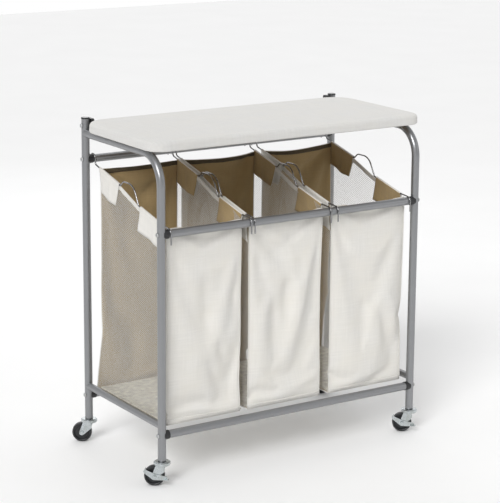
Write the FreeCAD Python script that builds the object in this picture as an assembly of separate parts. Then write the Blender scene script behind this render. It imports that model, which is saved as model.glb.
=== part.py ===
"""Rolling laundry cart: a tube frame on four swivel casters that carries three hanging laundry bags under
a hinged ironing board.

Row frame: +X to the cart's right, +Y to its back, +Z up, millimetres. Everything is laid out about the middle
of the frame with z = 0 on the floor, and every piece is moved by CENTRE_SHIFT at the end, so that the origin
is the bottom centre of the whole object's box.
"""

import FreeCAD, Part
import math
import os

Vector = FreeCAD.Vector

# ---------------------------------------------------------------- driving dimensions, mm
TUBE_R = 10.0  # posts and cross bars
RAIL_R = 9.0  # bottom side rails
WALL = 1.2  # wall of every tube
POST_X = 370.0  # half the distance between the side frames' centre planes
POST_Y = 184.0  # half the distance between front and rear posts

Z_POST_BOTTOM = 62.0
Z_LOWER_BAR = 124.0
Z_BOTTOM_RAIL = 147.0
Z_FRONT_BAR = 613.0
Z_REAR_BAR = 731.0
Z_TOP_RAIL = 796.0
Z_REAR_POST_TOP = 832.0
BEND_R = 72.0  # centre line radius where a front post turns into its top rail
CAP_H = 4.0

COLLAR_R = 11.0  # plastic saddle between a bar's end and its post
COLLAR_INNER_X = 352.5  # where a bar's tube ends
PLUG_LENGTH = 22.0
BOLT_R = 3.0  # M6
HOLE_CLEARANCE = 0.1
BOLT_HEAD_R = 5.5
BOLT_HEAD_H = 3.2

# ironing board
BOARD_HALF_X = 391.0
BOARD_FRONT_Y = -187.0
BOARD_REAR_Y = 170.0
BOARD_FRONT_R = 42.0
BOARD_REAR_R = 63.0
BOARD_BOTTOM_Z = Z_TOP_RAIL + TUBE_R + 0.4
COVER_T = 0.8
BASE_T = 6.0
BOARD_TOP_Z = 831.0
BOARD_EDGE_R = 7.0
HEM_WIDTH = 25.0
HINGE_Y = POST_Y
HINGE_Z = 815.0
EAR_BACK_Y = 197.0  # the bracket's ear, a rounded plate about the hinge pin
EAR_TOP_Z = 832.0
EAR_CORNER_R = 5.0
BRACKET_OUT_X = 359.0
BRACKET_EAR_T = 8.0
FOOT_IN_X = 320.0
FOOT_FRONT_Y = 118.0
FOOT_T = 4.4
WASHER_T = 0.7

# bags
WIRE_X = 111.0  # handle wires, either side of a bag's middle
WIRE_R = 1.8
HOOK_R = TUBE_R + 0.4 + WIRE_R  # centre line of a hook round its bar
CANVAS_T = 1.4
PANEL_HALF_X = 107.6
MESH_T = 1.2
BAG_BOTTOM_Z = 140.0
BAG_FRONT_Y = -171.0
BAG_REAR_TOP_Y = 148.0
BASE_BOARD_T = 3.0

# casters
WHEEL_R = 25.0
WHEEL_HALF_W = 8.5
HUB_HALF_W = 9.4
AXLE_R = 3.0
TRAIL = 18.0
CASTER_YAW = 147.0  # degrees from +X to the trailing direction
LEG_IN = 10.0
LEG_OUT = 12.0
CROWN_R = 19.0
CROWN_Z0, CROWN_Z1 = 51.6, 53.6
CUP_Z0, CUP_Z1 = 56.8, 60.8
CUP_R = 20.5
STEM_R = 5.0
STEM_TOP_Z = 96.0
BALL_R = 1.5
BALL_COUNT = 12
BALL_RING_R = 12.5
LEVER_T = 1.5

SIDES = {"left": -1, "right": 1}
BAGS = {"left": -239.0, "middle": -7.0, "right": 236.0}  # bag centres, each bag can slide along the bars
CASTERS = {
    "front_left": (-POST_X, -POST_Y),
    "front_right": (POST_X, -POST_Y),
    "rear_left": (-POST_X, POST_Y),
    "rear_right": (POST_X, POST_Y),
}
BARS = {
    "front_upper_bar": (-POST_Y, Z_FRONT_BAR),
    "rear_upper_bar": (POST_Y, Z_REAR_BAR),
    "front_lower_bar": (-POST_Y, Z_LOWER_BAR),
    "rear_lower_bar": (POST_Y, Z_LOWER_BAR),
}
AXIS_X, AXIS_Y, AXIS_Z = Vector(1, 0, 0), Vector(0, 1, 0), Vector(0, 0, 1)


# ---------------------------------------------------------------- small helpers
def rod(radius, start, end):
    """Solid cylinder between two points."""
    run = Vector(*end) - Vector(*start)
    return Part.makeCylinder(radius, run.Length, Vector(*start), run)


def pipe(radius, start, end, wall=WALL):
    """Straight open tube between two points."""
    return rod(radius, start, end).cut(rod(radius - wall, start, end))


def box(low, high):
    return Part.makeBox(high[0] - low[0], high[1] - low[1], high[2] - low[2], Vector(*low))


def fused(shapes):
    return shapes[0].fuse(list(shapes[1:])).removeSplitter()


def revolved(profile):
    """Solid of revolution about Z from (radius, z) corners."""
    points = [Vector(r, 0, z) for r, z in profile]
    face = Part.Face(Part.makePolygon(points + points[:1]))
    return face.revolve(Vector(0, 0, 0), AXIS_Z, 360)


def prism_x(corners, x0, x1):
    """Flat plate with (y, z) corners between two x planes."""
    points = [Vector(x0, y, z) for y, z in corners]
    return Part.Face(Part.makePolygon(points + points[:1])).extrude(Vector(x1 - x0, 0, 0))


def rounded_path(corners, radii):
    """Edges of a polyline whose inner corners are tangent arcs of the given radii."""
    edges, last = [], corners[0]
    for before, corner, after, radius in zip(corners, corners[1:], corners[2:], radii):
        inward, onward = (before - corner).normalize(), (after - corner).normalize()
        half = inward.getAngle(onward) / 2
        reach = radius / math.tan(half)
        middle = corner + (inward + onward).normalize() * (radius / math.sin(half) - radius)
        edges.append(Part.LineSegment(last, corner + inward * reach).toShape())
        edges.append(Part.Arc(corner + inward * reach, middle, corner + onward * reach).toShape())
        last = corner + onward * reach
    edges.append(Part.LineSegment(last, corners[-1]).toShape())
    return edges


def swept(edges, radius):
    """Round rod along a chain of edges."""
    path = Part.Wire(edges)
    start = edges[0].valueAt(edges[0].FirstParameter)
    heading = edges[0].tangentAt(edges[0].FirstParameter)
    ring = Part.Wire(Part.Circle(start, heading, radius).toShape())
    return path.makePipeShell([ring], True, True)


def rounded_plate(half_x, front, rear, front_r, rear_r, z0, z1, inset=0.0):
    """Plate whose four corners are arcs, the front pair and the rear pair with their own radius."""
    hx, y0, y1 = half_x - inset, front + inset, rear - inset
    rf, rr = front_r - inset, rear_r - inset
    diagonal = math.sqrt(0.5)

    def corner(sx, sy, r):
        cx, cy = sx * (hx - r), (y0 + r if sy < 0 else y1 - r)
        on_x, on_y = Vector(sx * hx, cy, z0), Vector(cx, cy + sy * r, z0)
        return on_x, Vector(cx + sx * r * diagonal, cy + sy * r * diagonal, z0), on_y

    arcs = [corner(1, -1, rf)[::-1], corner(1, 1, rr), corner(-1, 1, rr)[::-1], corner(-1, -1, rf)]
    edges = []
    for arc, following in zip(arcs, arcs[1:] + arcs[:1]):
        edges.append(Part.Arc(*arc).toShape())
        edges.append(Part.LineSegment(arc[2], following[0]).toShape())
    return Part.Face(Part.Wire(edges)).extrude(Vector(0, 0, z1 - z0))


# ---------------------------------------------------------------- frame
def bolt_axes(side):
    """(y, z) of every bolt through one side frame, with whether it is the board's hinge pin."""
    return list(BARS.values()), (HINGE_Y, HINGE_Z)


def drilled(shape, side):
    """A post with clearance holes for the bolts that pass through it."""
    bars, hinge = bolt_axes(side)
    for y, z in bars + [hinge]:
        start, end = (side * (POST_X - 20), y, z), (side * (POST_X + 20), y, z)
        shape = shape.cut(rod(BOLT_R + HOLE_CLEARANCE, start, end))
    return shape


def front_post(side):
    """Front post that bends back at the top and runs to the rear post as the top side rail."""
    x = side * POST_X
    corners = [
        Vector(x, -POST_Y, Z_POST_BOTTOM),
        Vector(x, -POST_Y, Z_TOP_RAIL),
        Vector(x, POST_Y, Z_TOP_RAIL),
    ]
    tube = swept(rounded_path(corners, [BEND_R]), TUBE_R)
    tube = tube.cut(swept(rounded_path(corners, [BEND_R]), TUBE_R - WALL))
    rear = rod(TUBE_R, (x, POST_Y, Z_POST_BOTTOM), (x, POST_Y, Z_REAR_POST_TOP))
    beyond = box((x - 20, POST_Y, Z_TOP_RAIL - 20), (x + 20, POST_Y + 20, Z_TOP_RAIL + 20))
    return drilled(tube.cut(rear).cut(beyond), side)


def rear_post(side):
    x = side * POST_X
    return drilled(pipe(TUBE_R, (x, POST_Y, Z_POST_BOTTOM), (x, POST_Y, Z_REAR_POST_TOP)), side)


def bottom_rail(side):
    """Lower side rail, coped where it is welded to its two posts."""
    x = side * POST_X
    rail = pipe(RAIL_R, (x, -POST_Y, Z_BOTTOM_RAIL), (x, POST_Y, Z_BOTTOM_RAIL))
    for y in (-POST_Y, POST_Y):
        rail = rail.cut(rod(TUBE_R, (x, y, Z_BOTTOM_RAIL - 30), (x, y, Z_BOTTOM_RAIL + 30)))
    return max(rail.Solids, key=lambda solid: solid.Volume)


def cross_bar(y, z):
    return pipe(TUBE_R, (-COLLAR_INNER_X, y, z), (COLLAR_INNER_X, y, z))


def bar_plug(side, y, z):
    """Plastic plug in a bar's end, with a collar shaped as a saddle against the post."""
    flange = rod(COLLAR_R, (side * COLLAR_INNER_X, y, z), (side * (POST_X - 3), y, z))
    neck_end = COLLAR_INNER_X - PLUG_LENGTH
    neck = rod(TUBE_R - WALL - 0.02, (side * COLLAR_INNER_X, y, z), (side * neck_end, y, z))
    post = rod(TUBE_R, (side * POST_X, y, z - 40), (side * POST_X, y, z + 40))
    bore = rod(BOLT_R + HOLE_CLEARANCE, (side * POST_X, y, z), (side * neck_end, y, z))
    pocket = rod(5.0, (side * (neck_end + 12), y, z), (side * neck_end, y, z))
    return flange.fuse(neck).cut(post).cut(bore).cut(pocket)


def bar_nut(side, y, z):
    """Threaded steel insert pressed into a plug's pocket."""
    inner = COLLAR_INNER_X - PLUG_LENGTH
    sleeve = rod(4.98, (side * (inner + 11.9), y, z), (side * inner, y, z))
    return sleeve.cut(rod(BOLT_R + 0.02, (side * (inner + 20), y, z), (side * (inner - 5), y, z)))


def domed_head(side, x, y, z, radius, height):
    """Low domed bolt head with a hexagon socket, its flat side at x facing the post."""
    head = Part.makeCylinder(radius, height, Vector(0, 0, 0), AXIS_Z)
    head = head.makeFillet(height * 0.55, [head.Edges[0]])
    hexagon = [
        Vector(radius * 0.42 * math.cos(math.radians(60 * i)), radius * 0.42 * math.sin(math.radians(60 * i)))
        for i in range(6)
    ]
    socket = Part.Face(Part.makePolygon(hexagon + hexagon[:1])).extrude(Vector(0, 0, height))
    socket.translate(Vector(0, 0, height * 0.4))
    head = head.cut(socket)
    head.rotate(Vector(0, 0, 0), AXIS_Y, 90 * side)
    head.translate(Vector(x, y, z))
    return head


def bar_bolt(side, y, z):
    """Bolt through a post into the bar's insert."""
    outer = POST_X + TUBE_R
    shank = rod(BOLT_R, (side * outer, y, z), (side * (COLLAR_INNER_X - PLUG_LENGTH + 1), y, z))
    return shank.fuse(domed_head(side, side * outer, y, z, BOLT_HEAD_R, BOLT_HEAD_H))


def post_cap(side):
    x = side * POST_X
    top = Part.makeCylinder(TUBE_R + 0.6, CAP_H, Vector(x, POST_Y, Z_REAR_POST_TOP))
    top = top.makeFillet(1.4, [top.Edges[0]])
    plug_r = TUBE_R - WALL - 0.02
    plug = rod(plug_r, (x, POST_Y, HINGE_Z + 6), (x, POST_Y, Z_REAR_POST_TOP))
    return top.fuse(plug)


def caster_socket(x, y):
    """Plastic socket in a post's foot that grips the caster's stem."""
    body = rod(TUBE_R - WALL - 0.02, (x, y, Z_POST_BOTTOM), (x, y, STEM_TOP_Z + 3))
    flange = rod(TUBE_R, (x, y, CUP_Z1 + 0.1), (x, y, Z_POST_BOTTOM))
    bore = rod(STEM_R + 0.02, (x, y, CUP_Z1), (x, y, STEM_TOP_Z + 0.5))
    return body.fuse(flange).cut(bore)


# ---------------------------------------------------------------- ironing board
def board_outline(z0, z1, inset=0.0):
    return rounded_plate(
        BOARD_HALF_X, BOARD_FRONT_Y, BOARD_REAR_Y, BOARD_FRONT_R, BOARD_REAR_R, z0, z1, inset
    )


def top_edges(shape, z):
    """Every edge that lies in the plane z."""
    level = [e for e in shape.Edges if all(abs(v.Z - z) < 1e-6 for v in e.Vertexes)]
    return [e for e in level if abs(e.CenterOfMass.z - z) < 1e-6]


def board_base():
    low = BOARD_BOTTOM_Z + COVER_T
    base = board_outline(low, low + BASE_T, COVER_T)
    for side in SIDES.values():
        for x, y in screw_places(side):
            base = base.cut(rod(2.0, (x, y, low - 1), (x, y, low + BASE_T - 1)))
    return base


def board_pad():
    low, high = BOARD_BOTTOM_Z + COVER_T + BASE_T, BOARD_TOP_Z - COVER_T
    pad = board_outline(low, high, COVER_T)
    return pad.makeFillet(BOARD_EDGE_R - COVER_T, top_edges(pad, high))


def bracket_foot(side, clearance=0.0):
    low = BOARD_BOTTOM_Z + COVER_T - FOOT_T
    x = sorted((side * (FOOT_IN_X - clearance), side * (BRACKET_OUT_X + clearance)))
    return box((x[0], FOOT_FRONT_Y - clearance, low), (x[1], HINGE_Y, BOARD_BOTTOM_Z + COVER_T))


def board_cover():
    """Fabric cover: top, rolled edge and a hem gathered under the base."""
    cover = board_outline(BOARD_BOTTOM_Z, BOARD_TOP_Z)
    cover = cover.makeFillet(BOARD_EDGE_R, top_edges(cover, BOARD_TOP_Z))
    low = BOARD_BOTTOM_Z + COVER_T
    cover = cover.cut(board_outline(low, low + BASE_T, COVER_T)).cut(board_pad())
    cover = cover.cut(board_outline(BOARD_BOTTOM_Z - 1, low, HEM_WIDTH))
    for side in SIDES.values():
        cover = cover.cut(bracket_foot(side, 0.3))
    return max(cover.Solids, key=lambda solid: solid.Volume)


def screw_places(side):
    return [(side * 333.0, 132.0), (side * 333.0, 152.0)]


def board_bracket(side):
    """Hinge bracket: a foot screwed under the base and a round ear on the hinge pin."""
    x_out, x_in = side * BRACKET_OUT_X, side * (BRACKET_OUT_X - BRACKET_EAR_T)
    foot_low = BOARD_BOTTOM_Z + COVER_T - FOOT_T
    ear_front = BOARD_REAR_Y + 2.0
    ear = box((min(x_in, x_out), ear_front, foot_low), (max(x_in, x_out), EAR_BACK_Y, EAR_TOP_Z))
    ear = ear.makeFillet(EAR_CORNER_R, [e for e in ear.Edges if abs(e.tangentAt(e.FirstParameter).x) > 0.9])
    bore = rod(BOLT_R + 0.06, (x_in - side * 5, HINGE_Y, HINGE_Z), (x_out + side * 5, HINGE_Y, HINGE_Z))
    bracket = fused([bracket_foot(side), ear]).cut(bore)
    for x, y in screw_places(side):
        bracket = bracket.cut(rod(2.1, (x, y, HINGE_Z - 30), (x, y, HINGE_Z)))
    return bracket


def bracket_screw(x, y):
    low = BOARD_BOTTOM_Z + COVER_T - FOOT_T
    head = rod(4.0, (x, y, low - 2.2), (x, y, low))
    head = head.makeFillet(1.0, [e for e in head.Edges if abs(e.CenterOfMass.z - (low - 2.2)) < 1e-6])
    return head.fuse(rod(2.0, (x, y, low), (x, y, BOARD_BOTTOM_Z + COVER_T + BASE_T - 1)))


def hinge_bolt(side):
    """Hinge pin: a bolt through the rear post and the bracket's ear, with a lock nut inside."""
    outer = side * (POST_X + TUBE_R)
    nut_out = BRACKET_OUT_X - BRACKET_EAR_T - 0.3
    shank = rod(BOLT_R, (outer, HINGE_Y, HINGE_Z), (side * (nut_out - 7), HINGE_Y, HINGE_Z))
    head = domed_head(side, outer, HINGE_Y, HINGE_Z, BOLT_HEAD_R, BOLT_HEAD_H)
    return shank.fuse(head)


def hex_nut_x(side, x_out, y, z, radius, thickness):
    corners = [
        (y + radius * math.cos(math.radians(60 * i)), z + radius * math.sin(math.radians(60 * i)))
        for i in range(6)
    ]
    nut = prism_x(corners, side * x_out, side * (x_out - thickness))
    return nut.cut(rod(BOLT_R + 0.01, (side * (x_out + 5), y, z), (side * (x_out - thickness - 5), y, z)))


def hinge_fitting(side):
    """Thin washer between post and ear, and the lock nut, as two solids."""
    washer_x = POST_X - TUBE_R
    washer = rod(7.0, (side * washer_x, HINGE_Y, HINGE_Z), (side * (washer_x - WASHER_T), HINGE_Y, HINGE_Z))
    washer = washer.cut(rod(BOLT_R + 0.01, (side * POST_X, HINGE_Y, HINGE_Z), (side * 340, HINGE_Y, HINGE_Z)))
    nut = hex_nut_x(side, BRACKET_OUT_X - BRACKET_EAR_T - 0.3, HINGE_Y, HINGE_Z, 5.6, 5.0)
    return [washer, nut]


# ---------------------------------------------------------------- bags
WIRE_REAR = (171.8, 717.8)  # (y, z) where the wire leaves the rear hook's shank
HANDLE_REAR = (44.0, 686.5)
HANDLE_CREST_REAR = (30.0, 699.0)
HANDLE_CREST_FRONT = (-18.0, 699.0)
HANDLE_FRONT = (-44.0, 653.0)
WIRE_FRONT = (-150.0, 628.0)
WIRE_BENDS = [7.0, 4.0, 16.0, 36.0, 4.0, 30.0]  # radius at each of those points
REAR_HOOK_TAIL = 14.0
FRONT_HOOK_TAIL = 25.0


def tangent_point(point, centre, radius):
    """Upper tangent point on a circle seen from a point behind it, as (y, z)."""
    dy, dz = point[0] - centre[0], point[1] - centre[1]
    distance = math.hypot(dy, dz)
    angle = math.atan2(dz, dy) + math.acos(radius / distance)
    return centre[0] + radius * math.cos(angle), centre[1] + radius * math.sin(angle), angle


def handle_wire(x):
    """Bent wire of one bag side: rear hook, sloping run, handle arch, sloping run, front hook."""

    def at(y, z):
        return Vector(x, y, z)

    rear_y, rear_z = POST_Y, Z_REAR_BAR
    front = (-POST_Y, Z_FRONT_BAR)
    touch_y, touch_z, touch_angle = tangent_point(WIRE_FRONT, front, HOOK_R)
    half_way = (touch_angle + math.pi) / 2
    edges = [
        Part.LineSegment(at(rear_y + HOOK_R, rear_z - REAR_HOOK_TAIL), at(rear_y + HOOK_R, rear_z)).toShape(),
        Part.Arc(
            at(rear_y + HOOK_R, rear_z), at(rear_y, rear_z + HOOK_R), at(rear_y - HOOK_R, rear_z)
        ).toShape(),
    ]
    corners = [(rear_y - HOOK_R, rear_z), WIRE_REAR, HANDLE_REAR, HANDLE_CREST_REAR]
    corners += [HANDLE_CREST_FRONT, HANDLE_FRONT, WIRE_FRONT, (touch_y, touch_z)]
    edges += rounded_path([at(*c) for c in corners], WIRE_BENDS)
    edges += [
        Part.Arc(
            at(touch_y, touch_z),
            at(front[0] + HOOK_R * math.cos(half_way), front[1] + HOOK_R * math.sin(half_way)),
            at(front[0] - HOOK_R, front[1]),
        ).toShape(),
        Part.LineSegment(
            at(front[0] - HOOK_R, front[1]), at(front[0] - HOOK_R, front[1] - FRONT_HOOK_TAIL)
        ).toShape(),
    ]
    return swept(edges, WIRE_R)


def between(a, b, y):
    """The point at y on the line from a to b, both (y, z)."""
    return (y, a[1] + (b[1] - a[1]) * (y - a[0]) / (b[0] - a[0]))


def sleeve(x, plate_x, start, end, skirt):
    """Canvas sleeve: a tube round a straight run of the wire, and the flap sewn under it."""
    tube = rod(WIRE_R + 1.2, (x, *start), (x, *end))
    flap = prism_x([start, end] + skirt, *plate_x)
    beyond = 6.0
    bore = rod(
        WIRE_R + 0.05,
        (x, *between(start, end, start[0] + beyond)),
        (x, *between(start, end, end[0] - beyond)),
    )
    return tube.fuse(flap).cut(bore)


def bag_canvas(centre):
    """Front panel, bottom and rear panel as one strip, and the four sleeves on the wires."""
    outer = [
        (BAG_FRONT_Y, 622.0),
        (BAG_FRONT_Y + 3, BAG_BOTTOM_Z),
        (172.0, BAG_BOTTOM_Z),
        (151.0, 430.0),
        (BAG_REAR_TOP_Y, 708.0),
    ]
    t = CANVAS_T
    inner = [(y + (t if y < 0 else -t), z + (t if z == BAG_BOTTOM_Z else 0)) for y, z in outer]
    solids = [prism_x(outer + inner[::-1], centre - PANEL_HALF_X, centre + PANEL_HALF_X)]
    rear_start, rear_end = between(WIRE_REAR, HANDLE_REAR, 146.0), between(WIRE_REAR, HANDLE_REAR, 50.0)
    front_start = between(HANDLE_FRONT, WIRE_FRONT, -50.0)
    front_end = between(HANDLE_FRONT, WIRE_FRONT, -146.0)
    for side in SIDES.values():
        x = centre + side * WIRE_X
        plate = sorted((centre + side * 109.1, centre + side * 110.4))
        solids.append(sleeve(x, plate, rear_start, rear_end, [(66.0, 634.0), (146.0, 656.0)]))
        solids.append(sleeve(x, plate, front_start, front_end, [(-146.0, 565.0), (-40.0, 592.0)]))
    return solids


def bag_mesh(centre, side):
    """Net side panel, from the bottom up to just under the wire."""
    drop = 4.5
    corners = [
        (BAG_FRONT_Y + 5, BAG_BOTTOM_Z),
        (BAG_FRONT_Y + 2, 618.0),
        (HANDLE_FRONT[0], HANDLE_FRONT[1] - drop),
        (HANDLE_REAR[0], HANDLE_REAR[1] - drop),
        (BAG_REAR_TOP_Y - 2, between(WIRE_REAR, HANDLE_REAR, BAG_REAR_TOP_Y)[1] - drop),
        (149.0, 430.0),
        (170.0, BAG_BOTTOM_Z),
    ]
    inner, outer = centre + side * (PANEL_HALF_X + 0.1), centre + side * (PANEL_HALF_X + 0.1 + MESH_T)
    return prism_x(corners, inner, outer)


def bag_base(centre):
    """Stiff board that lies in the bag's bottom."""
    low = BAG_BOTTOM_Z + CANVAS_T + 0.05
    return box(
        (centre - PANEL_HALF_X + 2, BAG_FRONT_Y + 8, low),
        (centre + PANEL_HALF_X - 2, 165.0, low + BASE_BOARD_T),
    )


# ---------------------------------------------------------------- casters, built with +X as trailing direction
def placed(shape, x, y):
    shape.rotate(Vector(0, 0, 0), AXIS_Z, CASTER_YAW)
    shape.translate(Vector(x, y, 0))
    return shape


def lateral_rod(radius, t, z, start, end):
    return rod(radius, (t, start, z), (t, end, z))


def caster_stem():
    """Stem, fixed top cup and the king pin riveted under the fork's crown."""
    return revolved(
        [
            (0, 49.2),
            (5.6, 49.2),
            (6.5, 50.0),
            (6.5, CROWN_Z0 - 0.2),
            (STEM_R, CROWN_Z0 - 0.2),
            (STEM_R, CUP_Z0),
            (CUP_R - 1.3, CUP_Z0),
            (CUP_R - 1.3, CROWN_Z1 + 0.7),
            (CUP_R, CROWN_Z1 + 0.7),
            (CUP_R, CUP_Z1 - 2.0),
            (CUP_R - 3.5, CUP_Z1),
            (STEM_R, CUP_Z1),
            (STEM_R, STEM_TOP_Z - 2.0),
            (STEM_R - 1.5, STEM_TOP_Z),
            (0, STEM_TOP_Z),
        ]
    )


def caster_balls():
    """Ring of steel balls between the cup and the crown."""
    z = (CROWN_Z1 + CUP_Z0) / 2
    step = 360 / BALL_COUNT
    return [
        Part.makeSphere(
            BALL_R,
            Vector(
                BALL_RING_R * math.cos(math.radians(step * i)),
                BALL_RING_R * math.sin(math.radians(step * i)),
                z,
            ),
        )
        for i in range(BALL_COUNT)
    ]


def hull_of_circles(a, b, y0, y1):
    """Plate in the wheel's plane whose outline runs round two circles (t, z, r) and their outer tangents."""
    (ta, za, ra), (tb, zb, rb) = a, b
    distance = math.hypot(tb - ta, zb - za)
    along = math.atan2(zb - za, tb - ta)
    spread = math.acos((ra - rb) / distance)
    up, down = along + spread, along - spread
    upper = [Vector(t + r * math.cos(up), y0, z + r * math.sin(up)) for t, z, r in (a, b)]
    lower = [Vector(t + r * math.cos(down), y0, z + r * math.sin(down)) for t, z, r in (a, b)]
    tip_b = Vector(tb + rb * math.cos(along), y0, zb + rb * math.sin(along))
    tip_a = Vector(ta - ra * math.cos(along), y0, za - ra * math.sin(along))
    edges = [
        Part.LineSegment(upper[0], upper[1]).toShape(),
        Part.Arc(upper[1], tip_b, lower[1]).toShape(),
        Part.LineSegment(lower[1], lower[0]).toShape(),
        Part.Arc(lower[0], tip_a, upper[0]).toShape(),
    ]
    return Part.Face(Part.Wire(edges)).extrude(Vector(0, y1 - y0, 0))


def caster_fork():
    """Pressed fork: round crown, two tapering legs and a skirt that joins them."""
    crown = Part.makeCylinder(CROWN_R, CROWN_Z1 - CROWN_Z0, Vector(0, 0, CROWN_Z0))
    pieces = [crown]
    for sign in (-1, 1):
        y0, y1 = sorted((sign * LEG_IN, sign * LEG_OUT))
        leg = hull_of_circles((TRAIL, WHEEL_R, 6.5), (5.0, CROWN_Z1 - 10, 12.5), y0, y1)
        leg = leg.cut(box((-60, -60, CROWN_Z1), (60, 60, 90)))
        pieces.append(leg)
    fork = fused(pieces)
    fork = fork.cut(Part.makeCylinder(STEM_R + 0.08, 20, Vector(0, 0, CROWN_Z0 - 10)))
    return fork.cut(lateral_rod(AXLE_R + 0.01, TRAIL, WHEEL_R, -20, 20))


def caster_wheel():
    """Moulded wheel: crowned tread, recessed web and a hub that runs on the axle."""
    half = [
        (AXLE_R + 0.06, 0),
        (AXLE_R + 0.06, HUB_HALF_W),
        (7.5, HUB_HALF_W),
        (8.2, 4.5),
        (18.5, 3.8),
        (19.5, WHEEL_HALF_W - 0.6),
        (20.5, WHEEL_HALF_W),
        (22.8, WHEEL_HALF_W),
        (24.3, WHEEL_HALF_W - 1.5),
        (WHEEL_R, WHEEL_HALF_W - 4.5),
        (WHEEL_R, 0),
    ]
    wheel = revolved(half + [(r, -z) for r, z in half[::-1][1:-1]])
    wheel.rotate(Vector(0, 0, 0), AXIS_X, 90)
    wheel.translate(Vector(TRAIL, 0, WHEEL_R))
    return wheel


def hexagon_y(radius, t, z, y0, y1):
    corners = [
        Vector(t + radius * math.cos(math.radians(60 * i)), y0, z + radius * math.sin(math.radians(60 * i)))
        for i in range(6)
    ]
    return Part.Face(Part.makePolygon(corners + corners[:1])).extrude(Vector(0, y1 - y0, 0))


def caster_axle(braked):
    """Axle bolt with its head on the far leg and its nut on the near one, outside the brake lever."""
    nut_y = LEG_OUT + (0.3 + LEVER_T + 0.3 if braked else 0.05)
    shank = lateral_rod(AXLE_R, TRAIL, WHEEL_R, -LEG_OUT, nut_y + 5)
    head = hexagon_y(5.2, TRAIL, WHEEL_R, -LEG_OUT - 3.4, -LEG_OUT)
    nut = hexagon_y(5.2, TRAIL, WHEEL_R, nut_y, nut_y + 3.8)
    return fused([shank, head, nut])


def brake_lever():
    """Stamped brake lever on the axle: a shoe arm over the tread and a pedal on the other side."""
    y0, y1 = LEG_OUT + 0.3, LEG_OUT + 0.3 + LEVER_T
    hub = (TRAIL, WHEEL_R - 0.5, 7.5)
    shoe_arm = hull_of_circles(hub, (39.5, 38.0, 4.5), y0, y1)
    pedal_arm = hull_of_circles(hub, (-8.0, 21.5, 5.2), y0, y1)
    pad = box((-17.0, y0, 18.6), (-4.0, y0 + 9.0, 20.2))
    upright = [e for e in pad.Edges if abs(e.tangentAt(e.FirstParameter).z) > 0.9]
    pad = pad.makeFillet(3.0, [e for e in upright if e.CenterOfMass.y > y0 + 1])
    angle = math.degrees(math.atan2(38.0 - WHEEL_R, 39.5 - TRAIL))
    shoe = box((WHEEL_R + 0.9, -6.0, -4.0), (WHEEL_R + 2.5, y1, 4.0))
    shoe.rotate(Vector(0, 0, 0), AXIS_Y, -angle)
    shoe.translate(Vector(TRAIL, 0, WHEEL_R))
    lever = fused([shoe_arm, pedal_arm, pad, shoe])
    return lever.cut(lateral_rod(AXLE_R + 0.06, TRAIL, WHEEL_R, 0, 30))


# ---------------------------------------------------------------- the whole cart
def build():
    """Every node's solids, laid out about the middle of the frame."""
    nodes = {}
    for name, side in SIDES.items():
        nodes[f"{name}_front_post"] = [front_post(side)]
        nodes[f"{name}_rear_post"] = [rear_post(side)]
        nodes[f"{name}_bottom_rail"] = [bottom_rail(side)]
        nodes[f"{name}_board_bracket"] = [board_bracket(side)]
    for name, (y, z) in BARS.items():
        nodes[name] = [cross_bar(y, z)]
    ends = [(side, y, z) for side in SIDES.values() for y, z in BARS.values()]
    nodes["bar_end_plugs"] = [bar_plug(*end) for end in ends]
    nodes["bar_end_nuts"] = [bar_nut(*end) for end in ends]
    nodes["bar_bolts"] = [bar_bolt(*end) for end in ends]
    nodes["post_caps"] = [post_cap(side) for side in SIDES.values()]
    nodes["caster_sockets"] = [caster_socket(x, y) for x, y in CASTERS.values()]

    nodes["board_base"] = [board_base()]
    nodes["board_pad"] = [board_pad()]
    nodes["board_cover"] = [board_cover()]
    nodes["bracket_screws"] = [bracket_screw(x, y) for side in SIDES.values() for x, y in screw_places(side)]
    nodes["hinge_bolts"] = [hinge_bolt(side) for side in SIDES.values()]
    nodes["hinge_washers_and_nuts"] = [s for side in SIDES.values() for s in hinge_fitting(side)]

    for name, centre in BAGS.items():
        nodes[f"{name}_bag_canvas"] = bag_canvas(centre)
        nodes[f"{name}_bag_base_board"] = [bag_base(centre)]
        for edge, side in SIDES.items():
            nodes[f"{name}_bag_{edge}_net"] = [bag_mesh(centre, side)]
            nodes[f"{name}_bag_{edge}_wire"] = [handle_wire(centre + side * WIRE_X)]

    nodes["caster_stems"] = [placed(caster_stem(), x, y) for x, y in CASTERS.values()]
    nodes["caster_balls"] = [placed(ball, x, y) for x, y in CASTERS.values() for ball in caster_balls()]
    for name, (x, y) in CASTERS.items():
        braked = name.startswith("front")
        nodes[f"{name}_caster_fork"] = [placed(caster_fork(), x, y)]
        nodes[f"{name}_caster_wheel"] = [placed(caster_wheel(), x, y)]
        nodes[f"{name}_caster_axle"] = [placed(caster_axle(braked), x, y)]
        if braked:
            nodes[f"{name}_brake_lever"] = [placed(brake_lever(), x, y)]
    return nodes


def centre_shift(nodes):
    """The move that puts the origin at the bottom centre of the whole object's box."""
    boxes = [solid.optimalBoundingBox(False) for solids in nodes.values() for solid in solids]
    low = [min(getattr(b, k) for b in boxes) for k in ("XMin", "YMin", "ZMin")]
    high = [max(getattr(b, k) for b in boxes) for k in ("XMax", "YMax")]
    return Vector(-(low[0] + high[0]) / 2, -(low[1] + high[1]) / 2, -low[2])


def export(nodes, shift):
    os.makedirs("parts", exist_ok=True)
    for name, solids in nodes.items():
        for solid in solids:
            solid.translate(shift)
        shape = solids[0] if len(solids) == 1 else Part.makeCompound(solids)
        shape.exportStep(f"parts/{name}.step")


NODES = build()
CENTRE_SHIFT = centre_shift(NODES)
export(NODES, CENTRE_SHIFT)
print(len(NODES), "nodes, shift", [round(v, 3) for v in CENTRE_SHIFT])
for node, pieces in NODES.items():
    for piece in pieces:
        if not piece.isValid() or len(piece.Solids) != 1:
            print("check", node, piece.isValid(), len(piece.Solids))
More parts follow.
